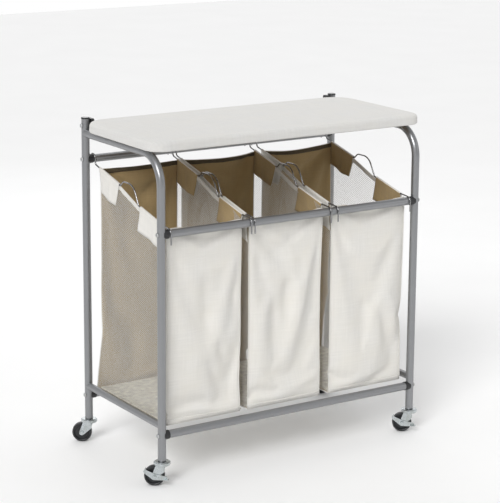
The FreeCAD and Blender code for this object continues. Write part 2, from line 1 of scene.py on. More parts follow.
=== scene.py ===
"""Laundry cart: cloth bags, padded board cover, materials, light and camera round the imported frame.

Metres, +X to the cart's right, +Y to its hinge side, +Z up. The y values of the soft pieces are given
about MID, the middle of the four posts on the floor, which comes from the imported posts.
"""

import math
import random

import bpy
import numpy as np
from mathutils import Matrix, Vector, noise


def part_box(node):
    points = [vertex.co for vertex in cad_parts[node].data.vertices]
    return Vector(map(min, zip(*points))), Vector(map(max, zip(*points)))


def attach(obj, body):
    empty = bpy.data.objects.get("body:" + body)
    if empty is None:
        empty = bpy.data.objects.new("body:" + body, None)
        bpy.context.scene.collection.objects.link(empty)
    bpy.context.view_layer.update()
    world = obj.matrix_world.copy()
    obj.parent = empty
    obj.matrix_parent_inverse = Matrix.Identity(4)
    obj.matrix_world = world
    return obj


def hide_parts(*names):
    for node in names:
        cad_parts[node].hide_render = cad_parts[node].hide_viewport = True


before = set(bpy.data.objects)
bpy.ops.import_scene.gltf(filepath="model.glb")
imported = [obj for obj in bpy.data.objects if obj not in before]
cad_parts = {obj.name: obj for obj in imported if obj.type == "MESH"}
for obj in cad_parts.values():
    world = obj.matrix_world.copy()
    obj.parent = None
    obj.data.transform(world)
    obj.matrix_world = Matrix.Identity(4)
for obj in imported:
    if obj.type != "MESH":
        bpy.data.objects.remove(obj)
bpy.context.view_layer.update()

BAGS = ("left", "middle", "right")
EDGES = {"left": -1, "right": 1}
POST_LOW, POST_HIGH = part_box("left_front_post")[0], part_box("right_rear_post")[1]
MID = Vector(((POST_LOW.x + POST_HIGH.x) / 2, (POST_LOW.y + POST_HIGH.y) / 2, 0))


def smooth(t):
    t = min(max(t, 0.0), 1.0)
    return t * t * (3 - 2 * t)


def mix(a, b, t):
    return a + (b - a) * t


# ---------------------------------------------------------------- node helpers
class Shader:
    """A Principled material and short calls that add texture nodes to it."""

    def __init__(self, name, color, roughness, **values):
        self.made = bpy.data.materials.new(name)
        self.made.use_nodes = True
        self.tree = self.made.node_tree
        self.main = self.tree.nodes["Principled BSDF"]
        self.main.inputs["Base Color"].default_value = (*color, 1)
        self.main.inputs["Roughness"].default_value = roughness
        for key, value in values.items():
            self.main.inputs[key.replace("_", " ")].default_value = value

    def add(self, kind, inputs=(), **settings):
        node = self.tree.nodes.new("ShaderNode" + kind)
        for key, value in settings.items():
            setattr(node, key, value)
        for key, value in dict(inputs).items():
            if isinstance(value, bpy.types.NodeSocket):
                self.tree.links.new(value, node.inputs[key])
            else:
                node.inputs[key].default_value = value
        return node

    def link(self, output, socket):
        self.tree.links.new(output, self.main.inputs[socket])

    def place(self):
        return self.add("TexCoord").outputs["Object"]

    def cloth_place(self):
        """Flat cloth coordinates in metres, which the soft pieces carry as their UV map."""
        return self.add("UVMap", uv_map="Cloth").outputs["UV"]

    def noise(self, where, scale, detail=3.0, stretch=None, distortion=0.0):
        if stretch:
            where = self.add("Mapping", {"Vector": where, "Scale": stretch}).outputs["Vector"]
        values = {"Vector": where, "Scale": scale, "Detail": detail, "Distortion": distortion}
        return self.add("TexNoise", values).outputs["Fac"]

    def math(self, operation, a, b=None):
        values = {0: a} if b is None else {0: a, 1: b}
        return self.add("Math", values, operation=operation).outputs[0]

    def span(self, value, low, high, from_low=0.3, from_high=0.7):
        """The value's middle stretched to run from low to high."""
        values = {"Value": value, "From Min": from_low, "From Max": from_high, "To Min": low, "To Max": high}
        return self.add("MapRange", values).outputs["Result"]

    def blend_color(self, factor, first, second):
        node = self.add("Mix", data_type="RGBA")
        for socket, value in ((node.inputs[0], factor), (node.inputs[6], first), (node.inputs[7], second)):
            if isinstance(value, bpy.types.NodeSocket):
                self.tree.links.new(value, socket)
            else:
                socket.default_value = value if isinstance(value, float) else (*value, 1)
        return node.outputs[2]

    def bump(self, height, distance, strength=1.0, under=None):
        values = {"Height": height, "Distance": distance, "Strength": strength}
        if under is not None:
            values["Normal"] = under
        return self.add("Bump", values).outputs["Normal"]

    def waves(self, where, period, direction):
        """Straight ridges of that period in metres across X or Y."""
        scale = 2 * math.pi / (20 * period)
        values = {"Vector": where, "Scale": scale}
        return self.add("TexWave", values, wave_type="BANDS", bands_direction=direction).outputs["Fac"]


def tinted(color, factor):
    return tuple(min(c * factor, 1.0) for c in color)


# ---------------------------------------------------------------- materials
def paint_material():
    """Silver-grey powder coat: fine metallic grain, orange peel, faint handling marks."""
    color = (0.29, 0.295, 0.305)
    shader = Shader("silver_powder_coat", color, 0.34, Metallic=0.8, Coat_Weight=0.12, Coat_Roughness=0.25)
    where = shader.place()
    grain = shader.noise(where, 1400, 2)
    cloudy = shader.noise(where, 9, 4)
    tone = shader.blend_color(shader.span(grain, 0.0, 1.0), tinted(color, 0.93), tinted(color, 1.07))
    shader.link(shader.blend_color(shader.span(cloudy, 0.0, 0.35), tone, tinted(color, 0.9)), "Base Color")
    scuffs = shader.noise(where, 60, 6, (1, 1, 0.08))
    shader.link(shader.span(scuffs, 0.28, 0.38), "Roughness")
    peel = shader.bump(shader.noise(where, 420, 2), 0.00006, 0.5)
    shader.link(shader.bump(grain, 0.00002, 0.4, peel), "Normal")
    return shader.made


def plated_material(name, color, roughness, blotch):
    """Zinc or nickel plating: faint bluish and yellowish clouds, drawn lines and small pits."""
    shader = Shader(name, color, roughness, Metallic=1.0)
    where = shader.place()
    clouds = shader.noise(where, 55, 5, distortion=0.6)
    shader.link(shader.blend_color(shader.span(clouds, 0.0, 1.0), color, blotch), "Base Color")
    lines = shader.noise(where, 900, 3, (1, 1, 0.1))
    shader.link(shader.span(shader.noise(where, 140, 5), roughness * 0.75, roughness * 1.35), "Roughness")
    shader.link(shader.bump(lines, 0.00003, 0.45), "Normal")
    return shader.made


def plastic_material(name, color, roughness, grain_size, grain_depth):
    """Moulded plastic or rubber: fine spark-eroded grain, dull patches where it is handled."""
    shader = Shader(name, color, roughness)
    where = shader.place()
    rubbed = shader.noise(where, 70, 4)
    shader.link(shader.blend_color(shader.span(rubbed, 0.0, 1.0), color, tinted(color, 1.9)), "Base Color")
    shader.link(shader.span(rubbed, roughness * 0.85, roughness * 1.25), "Roughness")
    shader.link(shader.bump(shader.noise(where, 1 / grain_size, 2), grain_depth, 0.6), "Normal")
    return shader.made


def woven_material(name, color, thread, shade=0.9, sheen=0.25, depth=0.00022, stain=(0.95, 0.93, 0.88)):
    """Plain-weave cotton: crossing threads with slubs, soft colour clouds and a little fuzz."""
    shader = Shader(name, color, 0.92, Sheen_Weight=sheen, Sheen_Roughness=0.55, Specular_IOR_Level=0.25)
    where = shader.cloth_place()
    warp = shader.waves(where, thread, "X")
    weft = shader.waves(where, thread, "Y")
    weave = shader.math("MULTIPLY", warp, weft)
    slub_size = 260
    along, across = (shader.noise(where, slub_size, 2, s) for s in ((1, 0.05, 1), (0.05, 1, 1)))
    slubs = shader.math("ADD", along, across)
    clouds = shader.noise(where, 14, 5)
    slub_tone = shader.span(slubs, 0.0, 1.0, 0.8, 1.25)
    tone = shader.blend_color(slub_tone, tinted(color, shade), tinted(color, 1.03))
    tone = shader.blend_color(shader.span(weave, 0.22, 0.0, 0.0, 0.8), tone, tinted(color, 0.72))
    cast = tuple(c * s for c, s in zip(color, stain))
    shader.link(shader.blend_color(shader.span(clouds, 0.0, 0.55), tone, cast), "Base Color")
    fuzz = shader.bump(shader.noise(where, 2300, 2), 0.00008, 0.35)
    threads = shader.bump(weave, depth, 0.8, fuzz)
    shader.link(shader.bump(slubs, depth * 1.2, 0.5, threads), "Normal")
    return shader.made


def net_material():
    """Knitted net: threads on both diagonals, open between them, a little thicker at the crossings."""
    color = (0.70, 0.69, 0.655)
    pitch, cover = 0.0040, 0.33
    shader = Shader("net", color, 0.7, Sheen_Weight=0.2, Specular_IOR_Level=0.35)
    where = shader.cloth_place()
    axes = shader.add("SeparateXYZ", {0: where})
    along, across = axes.outputs[0], axes.outputs[1]
    sines = []
    per_metre = math.pi / (pitch * math.sqrt(2))
    for operation in ("ADD", "SUBTRACT"):
        phase = shader.math("MULTIPLY", shader.math(operation, along, across), per_metre)
        sines.append(shader.math("ABSOLUTE", shader.math("SINE", phase)))
    nearest = shader.math("MINIMUM", sines[0], sines[1])
    crossing = shader.math("LESS_THAN", shader.math("ADD", sines[0], sines[1]), cover * 1.9)
    thread = shader.math("MAXIMUM", shader.math("LESS_THAN", nearest, cover), crossing)
    shader.link(thread, "Alpha")
    tone = shader.span(shader.noise(where, 20, 4), 0.0, 1.0)
    shader.link(shader.blend_color(tone, color, tinted(color, 0.9)), "Base Color")
    shader.link(shader.bump(shader.span(nearest, 1.0, 0.0, 0.0, cover), 0.0003, 0.8), "Normal")
    return shader.made


def board_base_material():
    """Pressed fibreboard: fine flecks with a dull wax sheen."""
    color = (0.25, 0.17, 0.10)
    shader = Shader("fibreboard", color, 0.62)
    where = shader.place()
    flecks = shader.noise(where, 420, 6, (1, 0.35, 1), 0.8)
    dark, pale = tinted(color, 0.7), tinted(color, 1.5)
    shader.link(shader.blend_color(shader.span(flecks, 0.0, 1.0), dark, pale), "Base Color")
    shader.link(shader.span(shader.noise(where, 30, 3), 0.5, 0.72), "Roughness")
    shader.link(shader.bump(flecks, 0.0001, 0.5), "Normal")
    return shader.made


CANVAS = (0.77, 0.755, 0.72)
TAN = (0.44, 0.325, 0.165)
CANVAS_THREAD, TAPE_THREAD = 0.0011, 0.0007
MATERIALS = {
    "paint": paint_material(),
    "zinc": plated_material("zinc_plate", (0.58, 0.62, 0.645), 0.24, (0.46, 0.49, 0.48)),
    "bolt": plated_material("bolt_plate", (0.62, 0.63, 0.65), 0.32, (0.50, 0.50, 0.48)),
    "wire": plated_material("nickel_wire", (0.36, 0.36, 0.37), 0.22, (0.24, 0.24, 0.24)),
    "black": plastic_material("black_plastic", (0.012, 0.012, 0.013), 0.42, 0.0009, 0.00008),
    "cap": plastic_material("cap_plastic", (0.010, 0.011, 0.012), 0.16, 0.002, 0.00002),
    "rubber": plastic_material("wheel_rubber", (0.010, 0.011, 0.012), 0.38, 0.0012, 0.00006),
    "sheet": plastic_material("base_sheet", (0.55, 0.52, 0.45), 0.55, 0.004, 0.0001),
    "canvas": woven_material("canvas_outside", CANVAS, CANVAS_THREAD, 0.955),
    "tan": woven_material("canvas_inside", TAN, CANVAS_THREAD, 0.92, 0.15, stain=(0.9, 0.86, 0.8)),
    "tape": woven_material("cotton_tape", (0.74, 0.725, 0.69), TAPE_THREAD, 0.92),
    # Near-black brown tape: painted shade standing for the shadow along the rear panel's inner top edge, not
    # a real dark binding.
    "painted_shade_tape": woven_material("painted_shade_inside_tape", (0.10, 0.078, 0.045), TAPE_THREAD, 0.85, 0.1),
    "thread": plastic_material("sewing_thread", (0.66, 0.64, 0.59), 0.6, 0.0004, 0.00005),
    "cover": woven_material(
        "ironing_cotton", (0.66, 0.655, 0.64), 0.0006, 0.95, 0.2, 0.0001, (0.99, 0.97, 0.93)
    ),
    "felt": woven_material("pad_felt", (0.72, 0.72, 0.70), 0.0015),
    "fibreboard": board_base_material(),
    "net": net_material(),
}


def cad_finish(node):
    """The material of a CAD node that stays in view."""
    if node in ("bar_end_plugs", "caster_sockets") or node.endswith("board_bracket"):
        return "black"
    if node == "post_caps":
        return "cap"
    if node.endswith(("fork", "axle", "brake_lever")) or node in ("caster_stems", "caster_balls"):
        return "zinc"
    if "bolt" in node or "nut" in node or "screw" in node:
        return "bolt"
    endings = {
        "_wire": "wire",
        "_wheel": "rubber",
        "_net": "net",
        "_base_board": "sheet",
        "_canvas": "canvas",
    }
    for ending, finish in endings.items():
        if node.endswith(ending):
            return finish
    board = {"board_base": "fibreboard", "board_pad": "felt", "board_cover": "cover"}
    return board.get(node, "paint")


def finish_cad_nodes():
    for name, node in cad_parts.items():
        made = MATERIALS[cad_finish(name)]
        for slot in node.material_slots:
            slot.material = made
        if not node.material_slots:
            node.data.materials.append(made)


# ---------------------------------------------------------------- mesh helpers
def mesh_object(name, points, faces, materials, cloth=None, face_materials=None):
    """A smooth-shaded mesh. cloth gives each vertex's flat cloth coordinates in metres."""
    mesh = bpy.data.meshes.new(name)
    mesh.from_pydata([tuple(p) for p in points], [], faces)
    for key in materials:
        mesh.materials.append(MATERIALS[key])
    mesh.shade_smooth()
    if face_materials is not None:
        mesh.polygons.foreach_set("material_index", face_materials)
    layer = mesh.uv_layers.new(name="Cloth")
    if cloth is not None:
        for loop in mesh.loops:
            layer.data[loop.index].uv = cloth[loop.vertex_index]
    made = bpy.data.objects.new(name, mesh)
    bpy.context.scene.collection.objects.link(made)
    return made


def grid_faces(rows, columns, closed=False):
    """Quads of a grid whose vertex (row, column) is number row * columns + column."""
    last = columns if closed else columns - 1
    return [
        (
            r * columns + c,
            r * columns + (c + 1) % columns,
            (r + 1) * columns + (c + 1) % columns,
            (r + 1) * columns + c,
        )
        for r in range(rows - 1)
        for c in range(last)
    ]


def keep_modified(piece):
    """Replaces the piece's mesh by the one its modifiers make, so that none is left on it."""
    graph = bpy.context.evaluated_depsgraph_get()
    made = bpy.data.meshes.new_from_object(piece.evaluated_get(graph), depsgraph=graph)
    piece.modifiers.clear()
    piece.data = made
    return piece


def thickened(piece, thickness, inner=None, subdivide=0, offset=-1.0):
    """Gives a sheet its thickness, and its inner side another material if inner says so."""
    if subdivide:
        piece.modifiers.new("Subdivision", "SUBSURF").levels = subdivide
        piece.modifiers["Subdivision"].render_levels = subdivide
    solid = piece.modifiers.new("Solidify", "SOLIDIFY")
    solid.thickness = thickness
    solid.offset = offset
    if inner is not None:
        solid.material_offset = inner
    return keep_modified(piece)


def tube(name, points, radius, material, sides=8):
    """Round cord along points, closed at both ends."""
    points = [Vector(p) for p in points]
    rings, side = [], None
    for i, point in enumerate(points):
        heading = (points[min(i + 1, len(points) - 1)] - points[max(i - 1, 0)]).normalized()
        if side is None:
            side = heading.orthogonal().normalized()
        side = (side - heading * side.dot(heading)).normalized()
        other = heading.cross(side)
        for s in range(sides):
            angle = 2 * math.pi * s / sides
            rings.append(point + (side * math.cos(angle) + other * math.sin(angle)) * radius)
    faces = grid_faces(len(points), sides, True)
    faces += [tuple(range(sides))[::-1], tuple(range(len(rings) - sides, len(rings)))]
    length = 0.0
    cloth = []
    for i, point in enumerate(points):
        length += (point - points[i - 1]).length if i else 0.0
        cloth += [(length, 2 * math.pi * radius * s / sides) for s in range(sides)]
    return mesh_object(name, rings, faces, [material], cloth)


class Patch:
    """A grid of points that can be read anywhere between (0, 0) and (1, 1), with its outward side."""

    def __init__(self, points, flip=1):
        self.points = points
        self.flip = flip

    def at(self, u, v):
        rows, columns = self.points.shape[0] - 1, self.points.shape[1] - 1
        a, b = min(max(u, 0), 1) * rows, min(max(v, 0), 1) * columns
        i, j = min(int(a), rows - 1), min(int(b), columns - 1)
        a, b = a - i, b - j
        p = self.points
        low = mix(p[i, j], p[i + 1, j], a)
        return Vector(mix(low, mix(p[i, j + 1], p[i + 1, j + 1], a), b))

    def out(self, u, v):
        step = 0.015
        along = self.at(u + step, v) - self.at(u - step, v)
        up = self.at(u, v + step) - self.at(u, v - step)
        return along.cross(up).normalized() * self.flip

    def faces(self, rows, columns):
        """Quads of a grid laid on the patch, turned to its outward side."""
        faces = grid_faces(rows, columns)
        return faces if self.flip > 0 else [face[::-1] for face in faces]

    def line(self, start, end, spacing, lift=0.0):
        """Points and outward directions on the straight line between two (u, v)."""
        length = (self.at(*end) - self.at(*start)).length
        count = max(int(length / spacing), 2)
        found = []
        for n in range(count + 1):
            u, v = mix(start[0], end[0], n / count), mix(start[1], end[1], n / count)
            found.append((self.at(u, v) + self.out(u, v) * lift, self.out(u, v)))
        return found


def stitches(name, line, length=0.0032, gap=0.0016, width=0.0004, material="thread"):
    """One row of sewing: short spindle-shaped threads along (point, outward) pairs."""
    points, faces, travelled, mark = [], [], 0.0, gap
    for (a, out), (b, _) in zip(line, line[1:]):
        heading = b - a
        run = heading.length
        heading.normalize()
        side = heading.cross(out).normalized()
        while mark + length < travelled + run:
            start = a + heading * (mark - travelled)
            end, middle = start + heading * length, start + heading * length / 2
            n = len(points)
            ring = [side * width, out * width * 1.1, side * -width, out * -width * 0.3]
            points += [start, end] + [middle + step for step in ring]
            for k in range(4):
                here, following = n + 2 + k, n + 2 + (k + 1) % 4
                faces += [(n, here, following), (n + 1, following, here)]
            mark += length + gap
        travelled += run
    return mesh_object(name, points, faces, [material])


# ---------------------------------------------------------------- bags
BAG_HALF_X = 0.1083
BAG_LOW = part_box("middle_bag_canvas")[0].z + 0.0004
FRONT_Y_TOP, FRONT_Y_LOW = -0.1703, -0.1675
REAR_PROFILE = ((BAG_LOW, 0.1790), (0.30, 0.1610), (0.46, 0.1503), (0.708, 0.1473))  # (z, y)
# How far the front panel reaches to the left and to the right of the bag's centre.
FRONT_HALF = {"left": (0.1083, 0.0975), "middle": (0.1105, 0.1020), "right": (0.1120, 0.1110)}
# (y, z) of the sides' top edge, and of the middle of the wire that carries it.
TOP_LINE = ((-0.1703, 0.6222), (-0.150, 0.627), (-0.044, 0.651), (0.044, 0.6845), (0.1473, 0.7105))
WIRE_LINE = ((-0.1703, 0.6236), (-0.150, 0.628), (-0.044, 0.653), (0.044, 0.6865), (0.1718, 0.7178))
NX, NY, NZ = 24, 36, 56
CLOTH_T, SLEEVE_T, HEM_T = 0.0013, 0.0009, 0.0011
TOP_HEM, LOW_HEM = 0.015, 0.012
HEM_LIFT, SLEEVE_LIFT = 0.0006, 0.0013
PIPING_R, FOOT_PIPING_R, PIPING_STEP = 0.0016, 0.0015, 0.008
FRONT_DROP, BASE_DEPTH, REAR_DROP = 0.482, 0.344, 0.569
# How far a point of the settled cloth may be from where the unsagged bag has it.
PANEL_ROOM, NET_ROOM, OTHER_ROOM = 0.0140, 0.0060, 0.004
REAR_ROOM, BAR_ROOM = PANEL_ROOM * 0.7, 0.0022
SINK_ROOM, RISE_ROOM = 0.006, 0.003
CREASE_PANEL = (0.216, 0.5)
CORNER_FOLD_DEPTH = 0.0078
WAVE_DEPTH, WAVE_SPREAD = 0.0085, 0.022
SETTLE_FRAMES = 26
# Part, y of its ends on the wire, (y, z) of its two lower corners, droop between them.
SLEEVES = (
    ("rear", (0.1470, 0.0478), ((0.1462, 0.6545), (0.0690, 0.6335)), 0.004),
    ("front", (-0.0545, -0.1560), ((-0.0400, 0.5915), (-0.1640, 0.5600)), -0.003),
)


def on_line(pairs, value):
    """The piecewise straight line through (from, to) pairs, read at value."""
    return float(np.interp(value, [a for a, _ in pairs], [b for _, b in pairs]))


def shell_point(bag, centre, i, j, k):
    """Where the unsagged bag has its point, with i across, j front to back and k up."""
    tx, ty, tz = i / NX, j / NY, k / NZ
    y_top = mix(TOP_LINE[0][0], TOP_LINE[-1][0], ty)
    z = mix(BAG_LOW, on_line(TOP_LINE, y_top), tz)
    y = mix(mix(FRONT_Y_LOW, FRONT_Y_TOP, tz), on_line(REAR_PROFILE, z), ty)
    half = mix(FRONT_HALF[bag][1 if tx > 0.5 else 0], BAG_HALF_X, smooth(ty * 1.6))
    half = mix(half, BAG_HALF_X + 0.0018, smooth((tz - 0.93) / 0.07) * smooth(ty * 4))
    return Vector((centre + (2 * tx - 1) * half, y + MID.y, z))


def creases(seed):
    """Tension folds that fan out from a panel's upper corners, and a few soft waves lower down."""
    draw = random.Random(seed)
    folds = []
    for corner, lean in (((0.0, 1.0), 1), ((1.0, 1.0), -1)):
        for angle in (18, 38, 58, 76):
            turned = math.radians(angle + draw.uniform(-7, 7))
            heading = (lean * math.cos(turned), -math.sin(turned))
            size = draw.uniform(0.6, 1.0) * (1 if draw.random() < 0.6 else -1)
            length, spread = draw.uniform(0.10, 0.26), 0.011 + angle * 0.0001
            folds.append((corner, heading, length, spread, CORNER_FOLD_DEPTH * size))
    for _ in range(5):
        start = (draw.uniform(0.1, 0.9), draw.uniform(0.25, 0.75))
        turned = math.radians(draw.uniform(60, 120))
        heading = (math.cos(turned), -math.sin(turned))
        length = draw.uniform(0.12, 0.24)
        folds.append((start, heading, length, WAVE_SPREAD, WAVE_DEPTH * draw.choice((-1, 1))))
    return folds


def crease_height(folds, u, v, width, height):
    """Sum of the folds at (u, v) on a panel of that size."""
    total = 0.0
    for (cu, cv), (hx, hz), length, spread, size in folds:
        dx, dz = (u - cu) * width, (v - cv) * height
        along = dx * hx + dz * hz
        across = -dx * hz + dz * hx
        if -0.02 < along < length * 1.5:
            fade = smooth((along + 0.02) / 0.05) * (1 - smooth((along - length * 0.4) / (length * 1.1)))
            wide = spread * (0.6 + along / length)
            total += size * fade * math.exp(-((across / wide) ** 2))
    return total


def bag_shell(bag, seed):
    """The bag as one open-topped cloth, hung from its wires and settled by a short simulation."""
    low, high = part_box(f"{bag}_bag_canvas")
    centre = (low.x + high.x) / 2
    keys = [
        (i, j, k)
        for i in range(NX + 1)
        for j in range(NY + 1)
        for k in range(NZ + 1)
        if i in (0, NX) or j in (0, NY) or k == 0
    ]
    number = {key: n for n, key in enumerate(keys)}
    rest = np.array([shell_point(bag, centre, *key) for key in keys])
    folds = {0: creases(seed), NY: creases(seed + 50)}
    start = rest.copy()
    for n, (i, j, k) in enumerate(keys):
        loose = smooth(min(k, NZ - k) / 5) if 0 < k < NZ else 0.0
        if j in folds:
            edge = smooth(min(i, NX - i) / 3)
            push = crease_height(folds[j], i / NX, k / NZ, *CREASE_PANEL) * edge * smooth(k / 5)
            start[n, 1] += push if j else -push
        elif i in (0, NX) and 0 < k:
            wave = noise.noise(Vector((j * 0.16 + seed, k * 0.07, i))) * 0.004 * loose
            start[n, 0] += wave
    quads = []
    for i in range(NX):
        for k in range(NZ):
            quads.append([(i, 0, k), (i + 1, 0, k), (i + 1, 0, k + 1), (i, 0, k + 1)])
            quads.append([(i + 1, NY, k), (i, NY, k), (i, NY, k + 1), (i + 1, NY, k + 1)])
        for j in range(NY):
            quads.append([(i, j + 1, 0), (i + 1, j + 1, 0), (i + 1, j, 0), (i, j, 0)])
    for j in range(NY):
        for k in range(NZ):
            quads.append([(0, j + 1, k), (0, j, k), (0, j, k + 1), (0, j + 1, k + 1)])
            quads.append([(NX, j, k), (NX, j + 1, k), (NX, j + 1, k + 1), (NX, j, k + 1)])
    faces = [tuple(number[key] for key in quad) for quad in quads]
    pins = [n for n, (i, _, k) in enumerate(keys) if k == 0 or (k == NZ and i in (0, NX))]
    settled = hung_cloth(start, faces, pins)
    settled = within_room(settled, rest, keys)
    return centre, number, settled


def hung_cloth(start, faces, pins):
    """Blender's cloth, pinned at the wires and the base board, with a little air in it."""
    cloth = mesh_object("bag_simulation", start, faces, [])
    group = cloth.vertex_groups.new(name="pins")
    group.add(pins, 1.0, "REPLACE")
    modifier = cloth.modifiers.new("Cloth", "CLOTH")
    settings = modifier.settings
    settings.quality = 6
    settings.mass = 0.12
    settings.tension_stiffness = 18
    settings.compression_stiffness = 12
    settings.shear_stiffness = 8
    settings.bending_stiffness = 0.9
    settings.vertex_group_mass = "pins"
    settings.shrink_min = -0.006
    settings.use_pressure = True
    settings.uniform_pressure_force = 0.12
    settings.effector_weights.gravity = 0.35
    modifier.collision_settings.use_collision = False
    modifier.point_cache.frame_start, modifier.point_cache.frame_end = 1, SETTLE_FRAMES
    scene = bpy.context.scene
    for step in range(1, SETTLE_FRAMES + 1):
        scene.frame_set(step)
    graph = bpy.context.evaluated_depsgraph_get()
    mesh = cloth.evaluated_get(graph).to_mesh()
    found = np.zeros(len(start) * 3)
    mesh.vertices.foreach_get("co", found)
    scene.frame_set(1)
    bpy.data.objects.remove(cloth)
    return found.reshape(-1, 3)


def within_room(settled, rest, keys):
    """Holds the settled cloth inside the room that its neighbours and the bars leave."""
    capped = settled.copy()
    for n, (i, j, k) in enumerate(keys):
        moved = settled[n] - rest[n]
        out_x = NET_ROOM if i in (0, NX) else OTHER_ROOM
        if j == 0:  # the front bar stays clear of the panel, lifted or not
            out_y = mix(PANEL_ROOM, BAR_ROOM, smooth((rest[n][2] - 0.47) / 0.07))
        else:
            out_y = REAR_ROOM if j == NY else OTHER_ROOM
        sign = -1 if j == 0 else 1
        y = moved[1] * sign
        moved[1] = sign * min(max(y, -PANEL_ROOM), out_y)
        moved[0] = min(max(moved[0], -out_x), out_x)
        moved[2] = min(max(moved[2], -SINK_ROOM), RISE_ROOM)
        capped[n] = rest[n] + moved
    return capped


def panel_points(settled, number, key_of, rows, columns):
    return np.array(
        [[settled[number[key_of(r, c)]] for c in range(columns + 1)] for r in range(rows + 1)]
    )


def patch_piece(name, patch, materials, scale):
    """The patch's own grid as a mesh, with cloth coordinates of about the real size."""
    rows, columns = patch.points.shape[:2]
    cloth = [
        (r / (rows - 1) * scale[0], c / (columns - 1) * scale[1])
        for r in range(rows)
        for c in range(columns)
    ]
    faces = patch.faces(rows, columns)
    return mesh_object(name, patch.points.reshape(-1, 3), faces, materials, cloth)


def canvas_strip(bag, patches):
    """Front, bottom and rear panel as one cloth: off-white outside, tan inside."""
    front, bottom, rear = patches["front"].points, patches["bottom"].points, patches["rear"].points
    down = front[:, ::-1]
    run = np.concatenate([down, bottom[:, 1:], rear[:, 1:]], axis=1)
    rows, columns = run.shape[:2]
    lengths = np.linalg.norm(np.diff(run[rows // 2], axis=0), axis=1)
    travelled = np.concatenate([[0], np.cumsum(lengths)])
    width = 2 * BAG_HALF_X
    cloth = [(r / (rows - 1) * width, travelled[c]) for r in range(rows) for c in range(columns)]
    faces = grid_faces(rows, columns)
    piece = mesh_object(f"{bag}_bag_cloth", run.reshape(-1, 3), faces, ["canvas", "tan"], cloth)
    return thickened(piece, CLOTH_T, inner=1, subdivide=1)


def band(name, patch, u, v, lift, thickness, material, rows=40, columns=3):
    """A hem or tape lying on a patch between two u and two v values."""
    points, cloth = [], []
    for r in range(rows + 1):
        for c in range(columns + 1):
            here = mix(u[0], u[1], r / rows), mix(v[0], v[1], c / columns)
            points.append(patch.at(*here) + patch.out(*here) * lift)
            cloth.append((here[0] * 0.4, here[1] * 0.5))
    piece = mesh_object(name, points, patch.faces(rows + 1, columns + 1), [material], cloth)
    return thickened(piece, thickness, offset=0.0)


def side_place(y, z):
    """The (u, v) of a side panel's point at that y and z, before it sagged."""
    u, v = 0.5, 0.5
    for _ in range(12):
        top = on_line(TOP_LINE, mix(TOP_LINE[0][0], TOP_LINE[-1][0], u))
        v = (z - BAG_LOW) / (top - BAG_LOW)
        front = mix(FRONT_Y_LOW, FRONT_Y_TOP, v)
        u = (y - front) / (on_line(REAR_PROFILE, z) - front)
    return u, v


def folded_sleeve(name, patch, side, centres, bottoms, radius, seed, ripple=0.0007):
    """Cloth folded over a wire or an edge: a flap down the outside, the fold, a flap down the inside.

    centres are the fold's middle points, bottoms the (y, z) of the flaps' lower edge under each.
    """
    steps, arc = 9, 6
    outward = Vector((side, 0, 0))
    points, cloth = [], []
    for n, (centre, (by, bz)) in enumerate(zip(centres, bottoms)):
        profile = []
        for face in (1, -1):
            flap = []
            for s in range(steps + 1):
                t = s / steps
                y, z = mix(by, centre.y - MID.y, t), mix(bz, centre.z, t)
                here = side_place(y, z)
                wave = noise.noise(Vector((y * 45 + seed, z * 45, face))) * ripple * (1 - t)
                lying = patch.at(*here) + outward * face * (SLEEVE_LIFT + wave)
                flap.append(lying.lerp(centre + outward * face * radius, smooth(t) ** 3))
            profile.append(flap)
        over = []
        for a in range(1, arc):
            turn = math.pi * a / arc
            rise = Vector((0, 0, radius * math.sin(turn)))
            over.append(centre + outward * radius * math.cos(turn) + rise)
        station = profile[0] + over + profile[1][::-1]
        points += station
        height = 0.0
        for m, point in enumerate(station):
            height += (point - station[m - 1]).length if m else 0.0
            cloth.append((n * 0.005, height))
    columns = 2 * (steps + 1) + arc - 1
    faces = grid_faces(len(centres), columns)
    inner_from = steps + arc - 1
    index = [0 if face[0] % columns < inner_from else 1 for face in faces]
    heading = centres[1].y - centres[0].y
    if heading * side > 0:
        faces = [face[::-1] for face in faces]
    piece = mesh_object(name, points, faces, ["canvas", "tan"], cloth, index)
    return thickened(piece, SLEEVE_T, offset=0.0)


def wire_point(x, y):
    return Vector((x, y + MID.y, on_line(WIRE_LINE, y)))


def side_trims(bag, edge, patch):
    """Two canvas sleeves on the wire, and the tape that binds the net between them."""
    side = EDGES[edge]
    low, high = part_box(f"{bag}_bag_{edge}_wire")
    x = (low.x + high.x) / 2
    name = f"{bag}_bag_{edge}"
    made = []
    rows = 22
    for part, ends, ((y0, z0), (y1, z1)), droop in SLEEVES:
        spans = [n / rows for n in range(rows + 1)]
        centres = [wire_point(x, mix(*ends, t)) for t in spans]
        bottoms = [(mix(y0, y1, t), mix(z0, z1, t) - droop * math.sin(math.pi * t)) for t in spans]
        seed = len(bag) + side + len(part)
        made.append(folded_sleeve(f"{name}_{part}_sleeve", patch, side, centres, bottoms, 0.0031, seed))
        for row, depth in (("upper", 0.13), ("lower", 0.93)):
            line = []
            for centre, (by, bz) in zip(centres, bottoms):
                y, z = mix(centre.y - MID.y, by, depth), mix(centre.z, bz, depth)
                spot = patch.at(*side_place(y, z)) + Vector((side * 0.0019, 0, 0))
                line.append((spot, Vector((side, 0, 0))))
            made.append(stitches(f"{name}_{part}_sleeve_{row}_stitches", line))
    tape_rows = 20
    reach = 0.056
    centres, bottoms = [], []
    for n in range(tape_rows + 1):
        y = mix(reach, -reach, n / tape_rows)
        spot = patch.at(side_place(y, on_line(TOP_LINE, y))[0], 1.0)
        centres.append(spot - Vector((0, 0, 0.0012)))
        bottoms.append((y, on_line(TOP_LINE, y) - 0.0105))
    tape = folded_sleeve(f"{name}_net_binding", patch, side, centres, bottoms, 0.0011, 3, 0.0002)
    tape.data.materials[0] = MATERIALS["tape"]
    tape.data.materials[1] = MATERIALS["tape"]
    made.append(tape)
    return made


